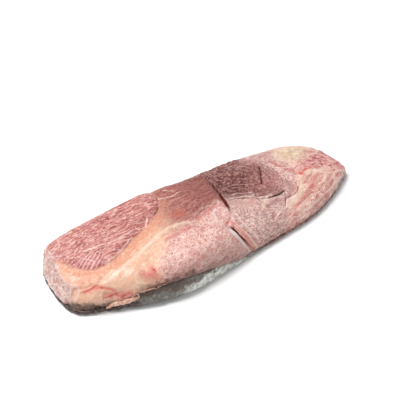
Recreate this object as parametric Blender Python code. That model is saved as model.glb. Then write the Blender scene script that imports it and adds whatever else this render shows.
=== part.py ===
"""A whole raw flat iron (top blade) steak, lying on its fat side with the lean side up.

The slab is long, flat and iron-shaped: a blunt cut end at -X, a thin pointed end at +X.
It has two solids. The lean is the muscle with its seams, hollow and split. The cover is
the layer of silverskin and fat that runs under the whole lean and turns up round its
side, where the lean's edge hangs over it as a lip.

Metres, +Z up. X runs along the steak and -Y is its near long side. The origin is the
centre of the steak's box, on the surface that it rests on.
"""

import math

import bmesh
import bpy
import numpy as np

MM = 0.001

# The lip's outline in plan, anticlockwise, in mm: x, y, height of the lip, width of the
# shoulder inside it, and how far the cover swells out below it.
NEAR_SIDE = [
    (-183, -28, 6, 14, 1.5),
    (-171, -43, 6, 19, 2),
    (-148, -50, 8.5, 22, 3),
    (-128, -55.5, 14, 20, 5.5),
    (-108, -61, 20, 18, 8),
    (-68, -69, 24, 17, 7),
    (-32, -66.5, 17, 20, 4),
    (2, -61, 6, 27, 1.5),
    (40, -54.5, 5.5, 33, 1.5),
    (80, -49, 5.5, 35, 1.5),
    (120, -39.5, 5.5, 32, 1.5),
    (154, -24, 5.5, 22, 1.5),
]
POINTED_END = [
    (187, -3, 5, 12, 1),
    (188.5, 12, 5.5, 9, 1.5),
    (186, 28, 6, 10, 1.5),
]
FAR_SIDE = [
    (181, 43, 6.5, 10, 2),
    (168, 56, 7, 12, 2),
    (146, 66.5, 9, 16, 2),
    (108, 71, 12, 18, 3),
    (51, 70, 14, 18, 3),
    (-9, 65, 15, 18, 3),
    (-64, 60.5, 15, 15, 3),
    (-119, 53.5, 13, 15, 3),
    (-164, 45.5, 9, 11, 3),
]
CUT_END = [
    (-181, 39, 7, 6, 1.5),
    (-188, 20, 6, 11, 1.5),
    (-187, -9, 6, 14, 1.5),
]

# Height of the crown of the lean along the steak, in mm: x, height.
CROWN = [
    (-188, 29),
    (-169, 33),
    (-144, 38),
    (-104, 41),
    (-54, 40.5),
    (-4, 37),
    (46, 33),
    (96, 29),
    (136, 25.5),
    (164, 21),
    (182, 16),
    (190, 12),
]
SIDE_DROP = 4.0  # how much lower the lean is at its shoulders than along its middle
CORNER_AT = (-176, -50)  # the low corner between the cut end and the near side
CORNER_SPAN = (46, 30)
CORNER_DROP = 9.0
CORNER_SLOPE = (1.2, 0.1)  # from untouched to the full drop, in spans
SPINE = ((-132, -4), (134, 16))  # the line that the shoulders lean in towards

COVER = 3.0  # thickness of the silverskin and fat under the lean
GAP = 0.3  # between the two solids
LIP = 0.9  # how far the lean's edge hangs over the cover
FOOT = 6.5  # width of the rounding under the side, down to the flat face

SHOULDER_RINGS = 6
SIDE_RINGS = 4
ROWS = 28  # faces across the lean
COLUMNS_LEFT = 27  # faces along the lean, to the left and to the right of the split
COLUMNS_RIGHT = 26
CUT_END_ROUND = 1.25  # exponent of a shoulder's profile: 1 is a flat cut, 2 an ellipse
SIDE_ROUND = 2.0
CUT_END_FROM = (-170, -180)  # the shoulder turns from a side's to the cut end's
COVER_ROUND = 0.8  # exponent of the height down the cover's side

# The split across the lean, from the near side on: x, y, depth, width of its left wall.
SPLIT = [
    (26, -64, 4.5, 5.0),
    (19, -58.4, 7.0, 5.0),
    (13.5, -56, 7.5, 5.0),
    (10, -53, 8.0, 4.8),
    (6.5, -49, 8.0, 4.6),
    (4, -45, 7.5, 4.4),
    (2, -39, 6.0, 4.2),
    (3, -32, 2.5, 3.0),
    (9, -25, 2.0, 2.2),
    (13, -16, 3.0, 2.2),
    (15.5, 0, 4.5, 2.2),
    (18, 18, 4.5, 2.2),
    (19, 44, 1.5, 2.2),
    (18.5, 64, 0.0, 2.2),
]
SPLIT_RIGHT_WALL = 1.2
SPLIT_LIP = 1.8  # how much its right-hand lip stands up
SPLIT_LIP_FROM = 4.0
SPLIT_LIP_DEPTH = 7.0  # depth of the split from which its lip stands up in full
SPLIT_COLUMNS = (-10, -6.8, -4.6, -2.3, 0, 1.2, 2.8, 5.5, 9)
SPLIT_STRAIGHT = 4.0  # x of the straight column that is bent along the split
SPLIT_BEND = (70, 14)  # the columns bend more from the first x away to the second
LIP_SLIDES = 12  # rounds in which the lip's points slide to where the split ends
EDGE_CUT = 2.2  # most that the split may cut into the lip itself
SHOULDER_CUT = 5.0  # how much deeper it may cut at the top of the shoulder

# The seams and forms on the lean side, in mm.
FEATHER_SEAM = [
    (-176, 10),
    (-167, -6),
    (-152, -21),
    (-132, -27),
    (-110, -18),
    (-88, -1),
    (-72, 12),
    (-58, 15),
    (-50, 32),
    (-46, 68),
]
FEATHER_RISE = 2.3
FEATHER_SLOPE = (-3, 9)  # a slope is given from its foot to its top, across its seam
BAND_SEAM = [
    (-96, -72),
    (-92, -52),
    (-80, -33),
    (-56, -17),
    (-28, -10),
    (10, -14),
]
MARBLED_RISE = 2.2
MARBLED_SLOPE = (4, -12)
MARBLED_END = (8, -2)  # x
SEAM_DEPTH = 1.6
SEAM_WIDTH = 3.5
BAND_RIDGE = [
    (-136, -54),
    (-104, -34),
    (-76, -18),
    (-52, -10),
    (-28, -8),
]
RIDGE_RISE = 1.5
RIDGE_WIDTH = 7.0
HOLLOW_AT = (58, 12)
HOLLOW_SPAN = (44, 30)
HOLLOW_DEPTH = 7.0
HOLLOW_SLOPE = (1.15, 0.35)  # in spans from the middle
HOLLOW_CREASE = [
    (32, -4),
    (46, -9),
    (56, -16),
    (82, -16),
    (94, -1),
    (98, 18),
    (94, 42),
]
CREASE_DEPTH = 2.8
CREASE_WIDTH = 3.2
SLIT = [
    (72, 11),
    (78, 23),
    (83, 36),
]
SLIT_DEPTH = 2.2
SLIT_WIDTH = 2.4
FLAP_EDGE = [
    (-168, -36),
    (-154, -42),
    (-142, -54),
    (-122, -62),
]
FLAP_RISE = 2.6
FLAP_BEYOND = 4.0  # from the flap's edge to its thickest line
FLAP_WIDTH = 5.0
STRANDS_FROM = (80, 112)  # the strands of the pointed end start between these x
STRANDS_UP_TO = (30, 10)  # y
STRAND_PITCH = 13.0
STRAND_RISE = 0.55
STRAND_LEAN = math.radians(24)
FAT_AT = (140, 48)
FAT_SPAN = (30, 16)
FAT_RISE = 2.2
FAT_SLOPE = (1.2, 0.4)
WAVE = 0.6  # height of the slow waves all over

LEAN_COLOUR = (0.62, 0.27, 0.24, 1)
LEAN_ROUGHNESS = 0.38
COVER_COLOUR = (0.72, 0.66, 0.58, 1)
COVER_ROUGHNESS = 0.42
SHARP_ANGLE = math.radians(40)


def clear_scene():
    for obj in list(bpy.data.objects):
        bpy.data.objects.remove(obj, do_unlink=True)


def make_material(name, colour, roughness):
    made = bpy.data.materials.new(name)
    made.use_nodes = True
    shader = made.node_tree.nodes["Principled BSDF"]
    shader.inputs["Base Color"].default_value = colour
    shader.inputs["Roughness"].default_value = roughness
    shader.inputs["Metallic"].default_value = 0.0
    return made


def smooth(low, high, value):
    t = np.clip((value - low) / (high - low), 0, 1)
    return t * t * (3 - 2 * t)


def groove(distance, width):
    return np.exp(-((distance / width) ** 2))


def curve_through(rows, steps, closed=False):
    """Points on a Catmull-Rom curve through the rows, with any number of columns."""
    rows = np.array(rows, float)
    if closed:
        rows = np.vstack([rows[-1:], rows, rows[:2]])
    else:
        rows = np.vstack([2 * rows[0] - rows[1], rows, 2 * rows[-1] - rows[-2]])
    points = []
    for a, b, c, d in zip(rows, rows[1:], rows[2:], rows[3:]):
        for t in np.arange(steps) / steps:
            bend = (2 * a - 5 * b + 4 * c - d) * t + (3 * b - a - 3 * c + d) * t**2
            points.append(0.5 * (2 * b + (c - a) * t + bend * t))
    if not closed:
        points.append(rows[-2])
    return np.array(points)


def spread(stretch, fractions):
    """Points of a stretch at these fractions of its length in plan."""
    steps = np.hypot(*np.diff(stretch[:, :2], axis=0).T)
    length = np.concatenate([[0], np.cumsum(steps)])
    wanted = np.array(fractions) * length[-1]
    return np.stack([np.interp(wanted, length, column) for column in stretch.T], axis=1)


def near_line(points, x, y):
    """Distance in mm to a curve in plan, negative on its right-hand side."""
    line = curve_through(points, 8)
    best = np.full(x.shape, 1e9)
    side = np.ones(x.shape)
    for a, b in zip(line, line[1:]):
        run = b - a
        t = np.clip(((x - a[0]) * run[0] + (y - a[1]) * run[1]) / (run @ run), 0, 1)
        away = np.hypot(x - a[0] - t * run[0], y - a[1] - t * run[1])
        left = run[0] * (y - a[1]) - run[1] * (x - a[0]) >= 0
        side = np.where(away < best, np.where(left, 1, -1), side)
        best = np.minimum(best, away)
    return best * side


def from_middle(x, y, at, span):
    """Distance from the middle of an oval, where 1 is on its edge."""
    return np.hypot((x - at[0]) / span[0], (y - at[1]) / span[1])


def crown_height(x, y):
    """Height of the plain lean side: its crown, less its drop to the sides and corner."""
    crown = curve_through(CROWN, 8)
    near = curve_through(NEAR_SIDE, 8)
    far = curve_through(FAR_SIDE, 8)[::-1]
    low = np.interp(x, near[:, 0], near[:, 1])
    high = np.interp(x, far[:, 0], far[:, 1])
    aside = (2 * y - low - high) / (high - low)
    corner = CORNER_DROP * smooth(*CORNER_SLOPE, from_middle(x, y, CORNER_AT, CORNER_SPAN))
    return np.interp(x, crown[:, 0], crown[:, 1]) - SIDE_DROP * aside**2 - corner


def muscle_relief(x, y):
    """The two muscles left of the split, the band of fat between them, and the flap."""
    feather = near_line(FEATHER_SEAM, x, y)
    band = near_line(BAND_SEAM, x, y)
    flap = near_line(FLAP_EDGE, x, y)
    marbled = smooth(*MARBLED_SLOPE, band) * smooth(*MARBLED_END, x)
    rise = FEATHER_RISE * smooth(*FEATHER_SLOPE, feather)
    rise -= SEAM_DEPTH * groove(feather, SEAM_WIDTH)
    rise += MARBLED_RISE * marbled
    rise += RIDGE_RISE * groove(near_line(BAND_RIDGE, x, y), RIDGE_WIDTH)
    return rise + FLAP_RISE * groove(flap + FLAP_BEYOND, FLAP_WIDTH)


def hollow_relief(x, y):
    """The hollow right of the split, the crease round it, and the slit in its floor."""
    hollow = smooth(*HOLLOW_SLOPE, from_middle(x, y, HOLLOW_AT, HOLLOW_SPAN))
    crease = groove(near_line(HOLLOW_CREASE, x, y), CREASE_WIDTH)
    slit = groove(near_line(SLIT, x, y), SLIT_WIDTH)
    return -HOLLOW_DEPTH * hollow - CREASE_DEPTH * crease - SLIT_DEPTH * slit


def pointed_end_relief(x, y):
    """The long strands of the pointed end, and the fat at its far corner."""
    across = y * math.cos(STRAND_LEAN) - x * math.sin(STRAND_LEAN)
    strands = smooth(*STRANDS_FROM, x) * smooth(*STRANDS_UP_TO, y)
    fat = FAT_RISE * smooth(*FAT_SLOPE, from_middle(x, y, FAT_AT, FAT_SPAN))
    return fat + STRAND_RISE * strands * np.sin(2 * math.pi * across / STRAND_PITCH)


def relief(x, y):
    """How far the lean side stands above its plain crown, in mm."""
    waves = np.sin(x / 17 + 0.8) * np.cos(y / 13 - 0.4) + np.sin((x + 2 * y) / 23)
    return muscle_relief(x, y) + hollow_relief(x, y) + pointed_end_relief(x, y) + WAVE * waves


def split_at(y):
    """The split's x, depth and width of its left wall at these y."""
    line = curve_through(SPLIT, 8)
    return [np.interp(y, line[:, 1], line[:, column]) for column in (0, 2, 3)]


def split_relief(x, y):
    """The split, and the lip that stands up along its right-hand side, in mm."""
    middle, depth, left_wall = split_at(y)
    aside = x - middle
    wall = np.where(aside < 0, left_wall, SPLIT_RIGHT_WALL)
    cut = depth * np.clip(1 - np.abs(aside) / wall, 0, 1)
    lip = SPLIT_LIP * groove(aside - SPLIT_LIP_FROM, SPLIT_LIP_FROM) * (aside > 0)
    return lip * np.clip(depth / SPLIT_LIP_DEPTH, 0, 1) - cut


def follow_split(x, y):
    """Bends the columns beside the split so that one of them runs along it."""
    weight = smooth(*SPLIT_BEND, np.abs(x - SPLIT_STRAIGHT))
    return x + weight * (split_at(y)[0] - SPLIT_STRAIGHT)


def slide_lip(side):
    """A long side's points, slid along it so that the split ends at one of them."""
    in_order = side[np.argsort(side[:, 0])]
    y = side[:, 1]
    for _ in range(LIP_SLIDES):
        x = follow_split(side[:, 0], y)
        y = np.interp(x, in_order[:, 0], in_order[:, 1])
    rest = [np.interp(x, in_order[:, 0], in_order[:, column]) for column in (2, 3, 4)]
    return np.stack([x, y, *rest], axis=1)


def outline_sides():
    """Points of the lip's outline where the lean's columns and rows of faces end."""
    steps = 16
    line = curve_through(NEAR_SIDE + POINTED_END + FAR_SIDE + CUT_END, steps, closed=True)
    line = np.vstack([line, line[:1]])
    ends = np.cumsum([len(NEAR_SIDE), len(POINTED_END), len(FAR_SIDE)]) * steps
    near, pointed, far, cut = (
        line[: ends[0] + 1],
        line[ends[0] : ends[1] + 1],
        line[ends[1] : ends[2] + 1],
        line[ends[2] :],
    )
    length = POINTED_END[0][0] - NEAR_SIDE[0][0]
    split = (np.array(SPLIT_COLUMNS) + SPLIT_STRAIGHT - NEAR_SIDE[0][0]) / length
    left = np.linspace(0, split[0], COLUMNS_LEFT + 1)[:-1]
    right = np.linspace(split[-1], 1, COLUMNS_RIGHT + 1)[1:]
    columns = np.concatenate([left, split, right])
    rows = np.linspace(0, 1, ROWS + 1)
    return [
        spread(near, columns),
        spread(pointed, rows),
        spread(far, 1 - columns[::-1]),
        spread(cut, rows),
    ]


def outline(sides):
    """The sides' points as one closed ring."""
    return np.vstack([side[:-1] for side in sides])


def inward(x, y):
    """Unit direction in plan from the outline towards the spine."""
    a, b = np.array(SPINE, float)
    run = b - a
    t = np.clip(((x - a[0]) * run[0] + (y - a[1]) * run[1]) / (run @ run), 0, 1)
    dx = a[0] + t * run[0] - x
    dy = a[1] + t * run[1] - y
    length = np.hypot(dx, dy)
    return dx / length, dy / length


def shoulder_line(side):
    """Where the shoulder inside a side of the outline meets the crown, in plan."""
    dx, dy = inward(side[:, 0], side[:, 1])
    return side[:, :2] + np.stack([dx, dy], axis=1) * side[:, 3:4]


def plan_grid(near, right, far, left):
    """Coons patch: a grid of plan points inside four sides that meet at the corners."""
    across = np.linspace(0, 1, len(left))[None, :, None]
    steps = np.hypot(*np.diff(near, axis=0).T)
    along = (np.concatenate([[0], np.cumsum(steps)]) / steps.sum())[:, None, None]
    long_way = (1 - across) * near[:, None] + across * far[:, None]
    short_way = (1 - along) * left[None] + along * right[None]
    near_corners = (1 - along) * near[0] + along * near[-1]
    far_corners = (1 - along) * far[0] + along * far[-1]
    return long_way + short_way - (1 - across) * near_corners - across * far_corners


def side_profile(turn, lip, swell, depth):
    """Inset and height of the cover's side at a turn from 0, lip, to 90 degrees, foot.

    depth is how far in from the cover's outer face the point lies.
    """
    inset = LIP + FOOT * (1 - math.cos(turn)) - swell * math.sin(2 * turn)
    height = lip * (1 - math.sin(turn) ** COVER_ROUND)
    return inset + depth * math.cos(turn), height + depth * math.sin(turn)


def side_ring(edge, lip, step, depth):
    """Points of one ring round the cover's side, in metres."""
    turn = math.pi / 2 * step / SIDE_RINGS
    inset, height = side_profile(turn, lip, edge[:, 4], depth)
    dx, dy = inward(edge[:, 0], edge[:, 1])
    height = np.minimum(height, lip)
    return np.stack([edge[:, 0] + dx * inset, edge[:, 1] + dy * inset, height], axis=1) * MM


def add_ring(mesh, ring, points):
    """Adds a ring of vertices after the last one, with faces between them."""
    made = [mesh.verts.new(point) for point in points]
    for index in range(len(ring)):
        after = (index + 1) % len(ring)
        mesh.faces.new((ring[index], made[index], made[after], ring[after]))
    return made


def border(rows):
    """The outer ring of a grid, in the order of the outline's sides."""
    near = [row[0] for row in rows[:-1]]
    far = [row[-1] for row in rows[:0:-1]]
    return near + list(rows[-1][:-1]) + far + list(rows[0][:0:-1])


def add_grid(mesh, points):
    """Adds a grid of faces through a grid of points, and returns its outer ring."""
    verts = [[mesh.verts.new(point) for point in row] for row in points]
    for row, after in zip(verts, verts[1:]):
        for j in range(len(row) - 1):
            mesh.faces.new((row[j], after[j], after[j + 1], row[j + 1]))
    return border(verts)


def finish(mesh, name, made_of):
    bmesh.ops.recalc_face_normals(mesh, faces=mesh.faces)
    data = bpy.data.meshes.new(name)
    mesh.to_mesh(data)
    mesh.free()
    data.materials.append(made_of)
    data.shade_smooth()
    data.set_sharp_from_angle(angle=SHARP_ANGLE)
    obj = bpy.data.objects.new(name, data)
    bpy.context.scene.collection.objects.link(obj)
    return obj


def make_lean(sides, edge):
    near, right, far, left = [shoulder_line(side) for side in sides]
    grid = plan_grid(near, right, far[::-1], left[::-1])
    x, y = follow_split(grid[..., 0], grid[..., 1]), grid[..., 1]
    z = crown_height(x, y) + relief(x, y) + split_relief(x, y)
    mesh = bmesh.new()
    ring = add_grid(mesh, np.stack([x, y, z], axis=-1) * MM)

    # The shoulder runs from the crown to the lip, and the split cuts into it too.
    top = np.array([vert.co[:] for vert in ring]) / MM
    plain = top[:, 2] - split_relief(top[:, 0], top[:, 1])
    lip = edge[:, :3]
    straight_top = np.array(border(grid))[:, 0]
    straight_lip = outline(sides)[:, 0]
    dx, dy = inward(edge[:, 0], edge[:, 1])
    cut_end = smooth(*CUT_END_FROM, edge[:, 0])
    power = 2 / (SIDE_ROUND + (CUT_END_ROUND - SIDE_ROUND) * cut_end)
    for step in range(1, SHOULDER_RINGS + 1):
        turn = math.pi / 2 * (1 - step / SHOULDER_RINGS)
        out = math.cos(turn) ** power
        up = math.sin(turn) ** power
        place = top + (lip - top) * out[:, None]
        straight = straight_top + (straight_lip - straight_top) * out
        place[:, 0] = follow_split(straight, place[:, 1])
        place[:, 2] = lip[:, 2] + (plain - lip[:, 2]) * up
        cut = split_relief(place[:, 0], place[:, 1])
        cut = np.maximum(cut, -EDGE_CUT - SHOULDER_CUT * up)
        level = np.minimum(cut, 0) * math.cos(turn)
        place[:, 0] -= dx * level
        place[:, 1] -= dy * level
        place[:, 2] += cut * math.sin(turn)
        ring = add_ring(mesh, ring, place * MM)

    for step in range(SIDE_RINGS + 1):
        ring = add_ring(mesh, ring, side_ring(edge, edge[:, 2], step, COVER + GAP))
    mesh.faces.new(ring[::-1])
    return finish(mesh, "lean_meat", make_material("lean meat", LEAN_COLOUR, LEAN_ROUGHNESS))


def make_cover(edge):
    lip = edge[:, 2] - GAP
    mesh = bmesh.new()
    ring = [mesh.verts.new(point) for point in side_ring(edge, lip, SIDE_RINGS, COVER)]
    mesh.faces.new(ring)
    for step in range(SIDE_RINGS - 1, -1, -1):
        ring = add_ring(mesh, ring, side_ring(edge, lip, step, COVER))
    for step in range(SIDE_RINGS + 1):
        ring = add_ring(mesh, ring, side_ring(edge, lip, step, 0))
    mesh.faces.new(ring[::-1])
    made_of = make_material("silverskin and fat", COVER_COLOUR, COVER_ROUGHNESS)
    return finish(mesh, "fat_cover", made_of)


def centre_on_origin(objects):
    """Moves the meshes together, so that the middle of their box is over the origin."""
    points = np.array([vert.co[:] for obj in objects for vert in obj.data.vertices])
    middle = (points.min(axis=0) + points.max(axis=0)) / 2
    for obj in objects:
        for vert in obj.data.vertices:
            vert.co.x -= middle[0]
            vert.co.y -= middle[1]


clear_scene()
lip_sides = outline_sides()
near_lip, pointed_lip, far_lip, cut_lip = lip_sides
lip_edge = outline([slide_lip(near_lip), pointed_lip, slide_lip(far_lip), cut_lip])
lean_meat = make_lean(lip_sides, lip_edge)
fat_cover = make_cover(lip_edge)
centre_on_origin([lean_meat, fat_cover])
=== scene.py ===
import math

import bpy
import numpy as np
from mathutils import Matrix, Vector, noise


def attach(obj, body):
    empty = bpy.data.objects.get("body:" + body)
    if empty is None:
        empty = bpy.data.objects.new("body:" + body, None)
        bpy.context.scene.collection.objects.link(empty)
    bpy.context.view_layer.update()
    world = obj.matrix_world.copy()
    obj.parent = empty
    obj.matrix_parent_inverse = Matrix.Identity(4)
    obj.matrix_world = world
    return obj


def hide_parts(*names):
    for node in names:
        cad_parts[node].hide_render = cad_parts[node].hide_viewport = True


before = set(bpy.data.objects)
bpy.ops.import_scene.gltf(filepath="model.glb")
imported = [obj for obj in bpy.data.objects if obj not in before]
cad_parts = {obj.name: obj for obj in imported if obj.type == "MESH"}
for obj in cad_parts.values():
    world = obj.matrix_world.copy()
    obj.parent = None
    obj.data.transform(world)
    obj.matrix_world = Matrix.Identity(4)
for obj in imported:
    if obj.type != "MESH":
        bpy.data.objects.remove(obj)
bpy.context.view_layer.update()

# ---------------------------------------------------------------------------------------
# The lean: one whole raw muscle, lying on its fat side. Its long feather muscle, the band
# of fat beside it and the marbled muscle meet at seams; a split, a hollow and the pointed
# end follow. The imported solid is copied, cut finer, and then shaped seam by seam.

MM = 0.001
WELD = 0.00002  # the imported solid's loose triangles meet this closely
LARGE_FACE = 2.6e-6  # square metres: larger faces are cut in three each way
MEDIUM_FACE = 1.4e-6  # and faces larger than this are then cut in two each way
CUT_UPWARD = 0.15  # how far up a face looks that is cut finer
SMOOTH_UPWARD = 0.05  # how far up a point looks that is smoothed
SETTLE = 3  # smoothing passes that round the facets off
ROUND = 150  # further ones that round the near corner of the cut end
ROUND_ABOVE = 6  # mm above the floor, where that corner starts
CALM = 160  # passes that even the normals out, so that they pass over the split

# Lines on the lean side, in mm, as x and y. A form lies on the left of its line, and only
# the cut face lies on the right of its rim.
FEATHER_SEAM = [(-173, 10), (-163, -8), (-152, -20), (-137, -23), (-121, -19), (-107, -13),
                (-91, -4), (-78, 3), (-62, 14), (-54, 22), (-50, 30), (-47, 42), (-46, 66)]
BAND_SEAM = [(-100, -72), (-95, -61), (-91, -52), (-84, -44), (-75, -36), (-65, -24),
             (-50, -18), (-36, -16), (-26, -11), (-14, -3), (-2, 0), (16, 3)]
CUT_RIM = [(-177, 60), (-177, 35), (-175, 15), (-176, 5), (-177, -8), (-176, -19),
           (-173, -25), (-177, -29), (-182, -32), (-188, -35)]
NEAR_EDGE = [(-183, -28), (-171, -43), (-148, -50), (-108, -61), (-68, -69), (-32, -66.5),
             (2, -61), (40, -54.5), (80, -49), (120, -39.5), (154, -24), (187, -3)]
HOLLOW_CREASE = [(19, 4), (36, 3), (49, 2), (56, -6), (66, -12), (81, -12), (90, -7),
                 (96, 5), (100, 16), (99, 28), (94, 42), (84, 56), (70, 72)]
SPLIT_LINE = [(26, -64), (19, -58.4), (13.5, -56), (10, -53), (6.5, -49), (4, -45),
              (2, -39), (3, -32), (9, -25), (13, -16), (15.5, 0), (18, 18), (19, 44),
              (18.5, 64)]
# Along the split: y, how deep the solid's cut is, how wide its left wall is, and how dark
# and open it is here, from 0 to 1.
SPLIT_DEPTH = [(-64, 4.5, 5.0, 0.9), (-58.4, 7.0, 5.0, 1.0), (-56, 7.5, 5.0, 1.0),
               (-49, 8.0, 4.6, 1.0), (-42, 7.0, 4.3, 0.9), (-37, 4.5, 3.9, 0.45),
               (-32, 2.5, 3.0, 0.1), (-22, 2.4, 2.2, 0.1), (-16, 3.0, 2.2, 0.35),
               (0, 4.5, 2.2, 0.8), (18, 4.5, 2.2, 0.9), (44, 1.5, 2.2, 0.3),
               (64, 0.0, 2.2, 0.0)]

# Ovals: their middle and their reach along x and y, in mm.
OVALS = {
    "yellow": ((134, 44), (22, 18)),  # fat at the far corner of the pointed end
    "red": ((160, 18), (29, 26)),  # the redder muscle of that end
    "stripes": ((-149, -13), (20, 13)),  # short pale stripes on the feather muscle
    "stain": ((-39, 5), (12, 9)),  # a red stain on the skin left of the split
    "loops": ((-8, -38), (34, 24)),  # where the marbled muscle's net is whitest
    "pink": ((36, -9), (24, 13)),  # rosier lean between the split and the hollow
}
NEAR_CORNER = ((-176, -44), (22, 20))
CORNER_MOUND = ((-156, -46), (15, 6))
FLAP_MOUND = ((-130, -56), (14, 5))

# Strokes of each kind: a line in mm, as x and y, and its half width.
STROKES = {
    # Pale veins, a little raised.
    "veins": [
        ([(-149, 3), (-141, 2), (-129, 0), (-119, -2), (-109, -1), (-98, 1), (-92, 4)], 0.8),
        ([(-156, 1), (-151, -6), (-147, -11), (-145, -14)], 0.6),
        ([(-136, -23), (-121, -18), (-108, -11), (-98, -5)], 0.7),
        ([(-79, 2), (-75, 8), (-71, 14)], 1.1),
        ([(-48, 36), (-40, 33), (-30, 33), (-22, 36)], 0.8),
        ([(-36, 46), (-28, 42), (-24, 33)], 0.7),
        ([(-88, -48), (-77, -47), (-65, -48), (-54, -48)], 0.8),
        ([(11, -24), (9, -34), (13, -44), (18, -52), (24, -57)], 0.9),
        ([(17, -21), (17, -34), (21, -44), (27, -53)], 0.9),
        ([(21, -20), (23, -32), (29, -42), (34, -52)], 0.7),
        ([(24, -19), (31, -29), (38, -37), (43, -47)], 0.6),
        ([(75, -32), (82, -25), (88, -23), (94, -23)], 1.5),
        ([(20, 2), (30, 4), (40, 4), (49, 3), (56, -3), (64, -8), (72, -10)], 0.7),
        ([(24, 11), (36, 12), (50, 9), (62, 3), (74, -3)], 0.5),
        ([(56, -39), (61, -37), (66, -35)], 0.9),
        ([(136, 7), (145, 2), (151, -5), (168, -5), (184, -3)], 1.4),
        ([(86, -43), (112, -36), (130, -29), (143, -24), (171, -10)], 1.0),
        ([(64, -46), (85, -38), (102, -32), (128, -22)], 0.7),
        ([(150, 30), (164, 34), (172, 25), (175, 12)], 1.0),
        ([(144, 17), (154, 16), (163, 12), (171, 3)], 0.7),
        ([(104, 14), (112, 7), (120, 2)], 0.9),
        ([(100, 30), (110, 22), (124, 19), (134, 21)], 0.9),
    ],
    # White tissue: left of the split, and along the rim of the cut end.
    "white": [
        ([(-10, -28), (-7, -20), (-6, -12), (0, -8)], 2.4),
        ([(-178, 12), (-177, -2), (-176, -14), (-174, -23)], 0.9),
        ([(-177, -27), (-174, -24), (-171, -25), (-169, -29), (-171, -33), (-175, -33)], 1.3),
        ([(-9, -33), (-14, -26), (-22, -22)], 1.1),
    ],
    # Runs of cream fat.
    "cream": [
        ([(-136, -40), (-118, -34), (-98, -28), (-82, -21), (-69, -16), (-59, -12), (-49, -12),
          (-37, -13)], 2.6),
        ([(115, -3), (112, -9), (106, -19), (92, -27), (80, -31)], 4.2),
        ([(130, 5), (139, 3), (148, 2), (160, 1)], 5.5),
        ([(150, 56), (160, 49), (170, 39)], 4.5),
        ([(66, -9), (56, -18), (48, -27)], 2.4),
    ],
    # Blood red spots and streaks, most of them beside the flap.
    "blood": [
        ([(-99, -50), (-97, -54), (-97, -57)], 2.6),
        ([(-107, -52), (-103, -54)], 1.6),
        ([(-166, -35), (-160, -37), (-153, -38)], 1.2),
        ([(-157, -39), (-150, -41), (-144, -44), (-139, -48)], 0.9),
        ([(-139, -50), (-133, -53), (-128, -54), (-123, -56)], 0.8),
        ([(-151, -46), (-145, -48), (-138, -50)], 0.7),
        ([(-1, -31), (3, -29), (6, -31), (5, -35)], 1.1),
        ([(121, 9), (123, 4), (130, 9), (139, 9)], 2.0),
    ],
    # Wide, soft reddish runs.
    "reddish": [
        ([(86, -34), (104, -28), (120, -18), (134, -6)], 3.4),
        ([(112, -38), (132, -29), (150, -18)], 2.4),
        ([(-26, -13), (-10, -6), (2, -2)], 3.0),
        ([(-70, -26), (-52, -24), (-34, -22)], 3.0),
        ([(104, 38), (108, 24), (116, 12)], 4.0),
        ([(-109, -51), (-105, -54), (-100, -56)], 5.0),
    ],
    # Mauve shade round the outside of the hollow's crease.
    "mauve": [
        ([(99, 3), (98, -8), (94, -15), (86, -22)], 4.5),
        ([(56, -24), (66, -20), (76, -20)], 3.5),
    ],
    # The near lip's torn underside, painted dark: partly darker meat, partly painted shade.
    "lip_shade_edge": [
        ([(-122, -57), (-113, -60), (-105, -62), (-97, -64)], 0.9),
        ([(-92, -66), (-83, -68), (-73, -69), (-62, -69)], 3.4),
    ],
    # Sunk folds, beside the flap and at the near side of the hollow.
    "folds": [
        ([(-168, -34), (-160, -37), (-151, -40), (-143, -45), (-138, -49)], 1.3),
        ([(-172, -27), (-164, -33), (-158, -35)], 1.2),
        ([(-149, -45), (-138, -50), (-128, -54)], 1.2),
        ([(20, 6), (30, 8), (42, 7), (54, 3), (62, -4)], 1.2),
        ([(28, 13), (42, 15), (56, 10), (70, 2), (80, -6)], 1.2),
    ],
    # Deep slits, in the hollow's floor and in its crease, painted dark as painted shade.
    "slits": [
        ([(76, 17), (79, 22), (82, 28), (86, 37)], 1.0),
        ([(57, -7), (61, -10), (67, -12.5), (75, -13), (82, -12), (88, -9)], 1.1),
    ],
    # Thin cracks, most of them where one form meets the next, painted dark as painted shade.
    "cracks": [
        ([(92, 45), (98, 33), (100, 18), (98, 8), (92, -4)], 0.6),
        ([(100, 2), (107, -3), (106, -10), (102, -17), (94, -21), (87, -20)], 0.5),
        ([(111, -8), (104, -15)], 0.5),
        ([(90, -7), (83, -21), (76, -31)], 0.6),
        ([(52, 0), (56, -5), (60, -9)], 1.1),
        ([(19, 3), (36, 2), (48, 1), (54, -3), (55, -13), (57, -20)], 0.6),
        ([(-47, 38), (-51, 28), (-56, 20), (-62, 16)], 0.8),
        ([(-26, -11), (-14, -2), (-3, 0)], 0.4),
        ([(-120, -58), (-111, -60), (-102, -62), (-92, -64)], 0.8),
    ],
}

# The fine relief of each form: height, length and width in mm, angle in plan, and seed.
FEATHER_GRAIN = [(0.45, 36, 5.2, 5, 5), (0.34, 16, 2.6, 5, 4)]
FAT_GRAIN = [(0.8, 22, 12, 20, 2), (0.12, 5, 3.6, 10, 9)]
MARBLED_GRAIN = [(0.8, 20, 12, 25, 7)]
SPECKLED_GRAIN = [(0.8, 16, 10, 10, 3)]
END_GRAIN = [(0.8, 30, 6, 24, 1), (0.4, 12, 2.8, 26, 8)]
WHOLE_GRAIN = [(0.5, 7, 5, 80, 4), (0.3, 2.6, 2.6, 0, 6)]
YELLOW_GRAIN = [(1.1, 10, 7, 30, 5)]
CUT_GRAIN = [(1.3, 8, 6, 80, 4), (0.7, 3, 3, 0, 6)]
LIP_GRAIN = [(1.0, 8, 8, 0, 13)]
LIP_DROP = [(1.2, 6, 6, 0, 17)]
WAVER = [(3.4, 24, 16, 20, 3)]
WRINKLE_BREAKS = [(1, 14, 9, 0, 11)]
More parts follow.
